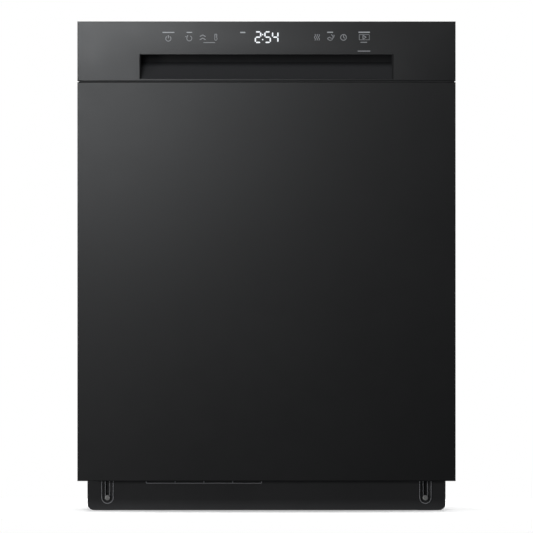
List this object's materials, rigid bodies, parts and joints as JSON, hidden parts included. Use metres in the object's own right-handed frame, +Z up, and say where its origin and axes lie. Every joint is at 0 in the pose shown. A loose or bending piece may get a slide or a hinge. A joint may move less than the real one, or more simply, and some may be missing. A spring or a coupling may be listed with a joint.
{
  "type": "built in dishwasher",
  "caption": "Built-in dishwasher with a flat black door, pocket handle, touch controls, sliding racks, spray arms, pumps and a sliding kick plate on levelling legs.",
  "frame": {"origin": "floor level, in the middle of the width and the depth", "axes": "+Z up, the door faces -Y, +X to the right of a person facing the door"},
  "size_m": [0.603, 0.624, 0.7805],
  "materials": {
    "door_skin": "satin",
    "fascia": "satin",
    "black_plastic": "matte",
    "kick_coating": "matte",
    "stainless": "satin",
    "galvanised": "spangled",
    "zinc_screw": "bright",
    "grey_plastic": "matte",
    "pale_plastic": "matte",
    "white_plastic": "satin",
    "base_plastic": "matte",
    "nylon_wire": "nylon coat",
    "rubber_seal": "matte",
    "felt": "felt",
    "motor_steel": "satin",
    "spring_steel": "satin",
    "leg_plastic": "matte"
  },
  "bodies": {
    "cabinet": {"base_pan": "base_plastic", "tub": "stainless", "tub_insulation": "felt", "frame_posts": "galvanised", "countertop_brackets": "galvanised", "access_panel": "kick_coating", "kick_plate_screws": "zinc_screw", "hinge_brackets": "galvanised", "door_springs": "spring_steel", "door_gasket": "rubber_seal", "sump": "grey_plastic", "filter_plate": "stainless", "wash_pump_housing": "grey_plastic", "wash_pump_motor": "motor_steel", "drain_pump": "grey_plastic", "hoses": "rubber_seal", "drain_outlet": "grey_plastic", "inlet_valve": "white_plastic", "air_break": "pale_plastic", "junction_box": "galvanised", "feed_duct": "grey_plastic", "upper_rail_outers": "stainless"},
    "kick_plate": {"kick_plate": "kick_coating"},
    "door": {"door_outer_panel": "door_skin", "control_panel": "fascia", "handle_pocket": "black_plastic", "display_module": "black_plastic", "inner_door_panel": "stainless", "door_insulation": "felt", "dispenser_body": "grey_plastic", "latch_body": "base_plastic", "hinge_arms": "galvanised", "door_screws": "zinc_screw"},
    "dispenser_lid": {"dispenser_lid": "pale_plastic"},
    "rinse_cap": {"rinse_cap": "pale_plastic"},
    "latch_lever": {"latch_lever": "spring_steel"},
    "lower_rack": {"lower_basket": "nylon_wire", "wheel_carriers": "grey_plastic", "silverware_basket": "grey_plastic"},
    "upper_rack": {"upper_basket": "nylon_wire", "upper_rail_inners": "stainless", "upper_feed_tube": "grey_plastic"},
    "rail_middles": {"upper_rail_middles": "stainless"},
    "cylinder_filter": {"cylinder_filter": "pale_plastic"},
    "wash_impeller": {"wash_impeller": "white_plastic"},
    "lower_spray_arm": {"lower_spray_arm": "grey_plastic"},
    "upper_spray_arm": {"upper_spray_arm": "grey_plastic"},
    "float_cap": {"float_cap": "grey_plastic"},
    "cup_shelf_left": {"cup_shelf_left": "grey_plastic"},
    "cup_shelf_right": {"cup_shelf_right": "grey_plastic"},
    "tine_row_front": {"tine_row_front": "nylon_wire"},
    "tine_row_rear": {"tine_row_rear": "nylon_wire"},
    "leg_front_left": {"leg_front_left": "leg_plastic"},
    "wheel_front_left": {"wheel_front_left": "grey_plastic"},
    "leg_front_right": {"leg_front_right": "leg_plastic"},
    "wheel_front_right": {"wheel_front_right": "grey_plastic"},
    "leg_rear_left": {"leg_rear_left": "leg_plastic"},
    "wheel_rear_left": {"wheel_rear_left": "grey_plastic"},
    "leg_rear_right": {"leg_rear_right": "leg_plastic"},
    "wheel_rear_right": {"wheel_rear_right": "grey_plastic"}
  },
  "joints": [
    {"name": "door_hinge", "type": "hinge", "parent": "cabinet", "child": "door", "pos_m": [0, -0.29, 0.0775], "axis": [1, 0, 0], "range_deg": [0, 90], "stiffness_Nm_per_rad": 20, "deforming": ["door_springs"]},
    {"name": "upper_rack_slide", "type": "slide", "parent": "cabinet", "child": "upper_rack", "axis": [0, -1, 0], "range_m": [0, 0.4501]},
    {"name": "rail_middle_slide", "type": "slide", "parent": "cabinet", "child": "rail_middles", "axis": [0, -1, 0], "range_m": [0, 0.2251]},
    {"name": "lower_rack_slide", "type": "slide", "parent": "cabinet", "child": "lower_rack", "axis": [0, -1, 0], "range_m": [0, 0.2043]},
    {"name": "kick_plate_slide", "type": "slide", "parent": "cabinet", "child": "kick_plate", "axis": [0, 0, -1], "range_m": [0, 0.07]},
    {"name": "dispenser_lid_slide", "type": "slide", "parent": "door", "child": "dispenser_lid", "axis": [1, 0, 0], "range_m": [0, 0.086]},
    {"name": "rinse_cap_turn", "type": "hinge", "parent": "door", "child": "rinse_cap", "pos_m": [0.058, -0.25, 0.4175], "axis": [0, 1, 0], "range_deg": [0, 90]},
    {"name": "latch_lever_pivot", "type": "hinge", "parent": "door", "child": "latch_lever", "pos_m": [0, -0.276, 0.7709], "axis": [1, 0, 0], "range_deg": [0, 3], "stiffness_Nm_per_rad": 0.6},
    {"name": "filter_twist", "type": "hinge", "parent": "cabinet", "child": "cylinder_filter", "pos_m": [0.036, -0.028, 0.1075], "axis": [0, 0, 1], "range_deg": [0, 60]},
    {"name": "wash_impeller_spin", "type": "hinge", "parent": "cabinet", "child": "wash_impeller", "pos_m": [0, 0.128, 0.0615], "axis": [0, 1, 0], "continuous": true},
    {"name": "lower_arm_spin", "type": "hinge", "parent": "cabinet", "child": "lower_spray_arm", "pos_m": [0, 0.008, 0.1355], "axis": [0, 0, 1], "continuous": true},
    {"name": "upper_arm_spin", "type": "hinge", "parent": "upper_rack", "child": "upper_spray_arm", "pos_m": [0, 0.008, 0.4255], "axis": [0, 0, 1], "continuous": true},
    {"name": "float_lift", "type": "slide", "parent": "cabinet", "child": "float_cap", "axis": [0, 0, 1], "range_m": [0, 0.008]},
    {"name": "cup_shelf_left_fold", "type": "hinge", "parent": "upper_rack", "child": "cup_shelf_left", "pos_m": [-0.212, 0, 0.5435], "axis": [0, -1, 0], "range_deg": [0, 88]},
    {"name": "cup_shelf_right_fold", "type": "hinge", "parent": "upper_rack", "child": "cup_shelf_right", "pos_m": [0.212, 0, 0.5435], "axis": [0, 1, 0], "range_deg": [0, 88]},
    {"name": "tine_row_front_fold", "type": "hinge", "parent": "lower_rack", "child": "tine_row_front", "pos_m": [0, -0.056, 0.1779], "axis": [-1, 0, 0], "range_deg": [0, 85]},
    {"name": "tine_row_rear_fold", "type": "hinge", "parent": "lower_rack", "child": "tine_row_rear", "pos_m": [0, 0.048, 0.1779], "axis": [-1, 0, 0], "range_deg": [0, 85]},
    {"name": "leg_front_left_screw", "type": "slide", "parent": "cabinet", "child": "leg_front_left", "axis": [0, 0, -1], "range_m": [0, 0.075]},
    {"name": "wheel_front_left_roll", "type": "hinge", "parent": "lower_rack", "child": "wheel_front_left", "pos_m": [-0.2635, -0.026, 0.1438], "axis": [1, 0, 0], "range_deg": [-5, 660]},
    {"name": "leg_front_right_screw", "type": "slide", "parent": "cabinet", "child": "leg_front_right", "axis": [0, 0, -1], "range_m": [0, 0.075]},
    {"name": "wheel_front_right_roll", "type": "hinge", "parent": "lower_rack", "child": "wheel_front_right", "pos_m": [0.2635, -0.026, 0.1438], "axis": [1, 0, 0], "range_deg": [-5, 660]},
    {"name": "leg_rear_left_screw", "type": "slide", "parent": "cabinet", "child": "leg_rear_left", "axis": [0, 0, -1], "range_m": [0, 0.075]},
    {"name": "wheel_rear_left_roll", "type": "hinge", "parent": "lower_rack", "child": "wheel_rear_left", "pos_m": [-0.2635, 0.19, 0.1438], "axis": [1, 0, 0], "range_deg": [-5, 660]},
    {"name": "leg_rear_right_screw", "type": "slide", "parent": "cabinet", "child": "leg_rear_right", "axis": [0, 0, -1], "range_m": [0, 0.075]},
    {"name": "wheel_rear_right_roll", "type": "hinge", "parent": "lower_rack", "child": "wheel_rear_right", "pos_m": [0.2635, 0.19, 0.1438], "axis": [1, 0, 0], "range_deg": [-5, 660]}
  ],
  "couplings": [
    {"joint": "upper_rack_slide", "follows": "door_hinge", "m_per_rad": 0.2865},
    {"joint": "rail_middle_slide", "follows": "door_hinge", "m_per_rad": 0.14325},
    {"joint": "lower_rack_slide", "follows": "door_hinge", "m_per_rad": 0.13},
    {"joint": "wheel_front_left_roll", "follows": "door_hinge", "ratio": 7.2222},
    {"joint": "wheel_front_right_roll", "follows": "door_hinge", "ratio": 7.2222},
    {"joint": "wheel_rear_left_roll", "follows": "door_hinge", "ratio": 7.2222},
    {"joint": "wheel_rear_right_roll", "follows": "door_hinge", "ratio": 7.2222}
  ]
}
